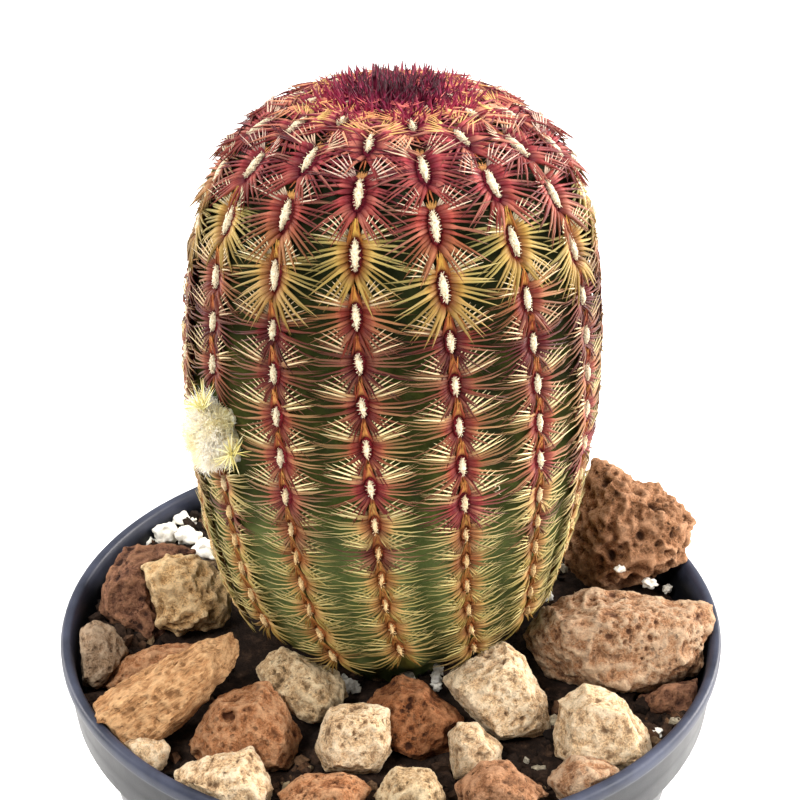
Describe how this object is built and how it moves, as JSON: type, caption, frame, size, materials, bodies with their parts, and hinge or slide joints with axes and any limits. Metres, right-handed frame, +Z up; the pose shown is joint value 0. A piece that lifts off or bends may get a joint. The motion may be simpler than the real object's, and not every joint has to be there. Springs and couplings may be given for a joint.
{
  "type": "potted rainbow hedgehog cactus",
  "caption": "Round nursery pot of soil dressed with broken lava stones, holding an upright ribbed barrel cactus with comb-like spines and a woolly bud on its side.",
  "frame": {"origin": "middle of the pot's foot, where it rests on the surface", "axes": "+Z up along the pot; the side seen in the picture faces -Y, with the woolly bud towards -X"},
  "size_m": [0.14, 0.14, 0.2225],
  "materials": {
    "pot_plastic": "smooth moulded black plastic with a soft sheen",
    "soil": "rough dark crumbly potting mix",
    "cactus_skin": "waxy green skin under rose, cream and yellow spines",
    "bud_wool": "fluffy cream wool with yellow spines",
    "lava_red": "rough pitted lava stone",
    "lava_rose": "rough pitted lava stone",
    "lava_tan": "rough pitted lava stone",
    "lava_grey": "rough pitted lava stone",
    "lava_dark": "rough pitted lava stone",
    "perlite": "matt white expanded grains"
  },
  "bodies": {
    "root": {"pot": "pot_plastic", "soil": "soil", "stem": "cactus_skin", "woolly_bud": "bud_wool", "stone_01": "lava_red", "stone_02": "lava_rose", "stone_03": "lava_tan", "stone_04": "lava_tan", "stone_05": "lava_tan", "stone_06": "lava_dark", "stone_07": "lava_tan", "stone_08": "lava_red", "stone_09": "lava_grey", "stone_10": "lava_tan", "stone_11": "lava_red", "stone_12": "lava_tan", "stone_13": "lava_dark", "stone_14": "lava_rose", "stone_15": "lava_dark", "stone_16": "lava_tan", "stone_17": "lava_red", "stone_18": "lava_grey", "stone_19": "lava_red", "stone_20": "lava_rose", "stone_21": "lava_tan", "stone_22": "lava_tan", "stone_23": "lava_red", "stone_24": "lava_dark", "stone_25": "lava_tan", "stone_26": "lava_rose", "perlite_01": "perlite", "perlite_02": "perlite", "perlite_03": "perlite", "perlite_04": "perlite", "perlite_05": "perlite", "perlite_06": "perlite", "perlite_07": "perlite", "perlite_08": "perlite"}
  },
  "joints": []
}
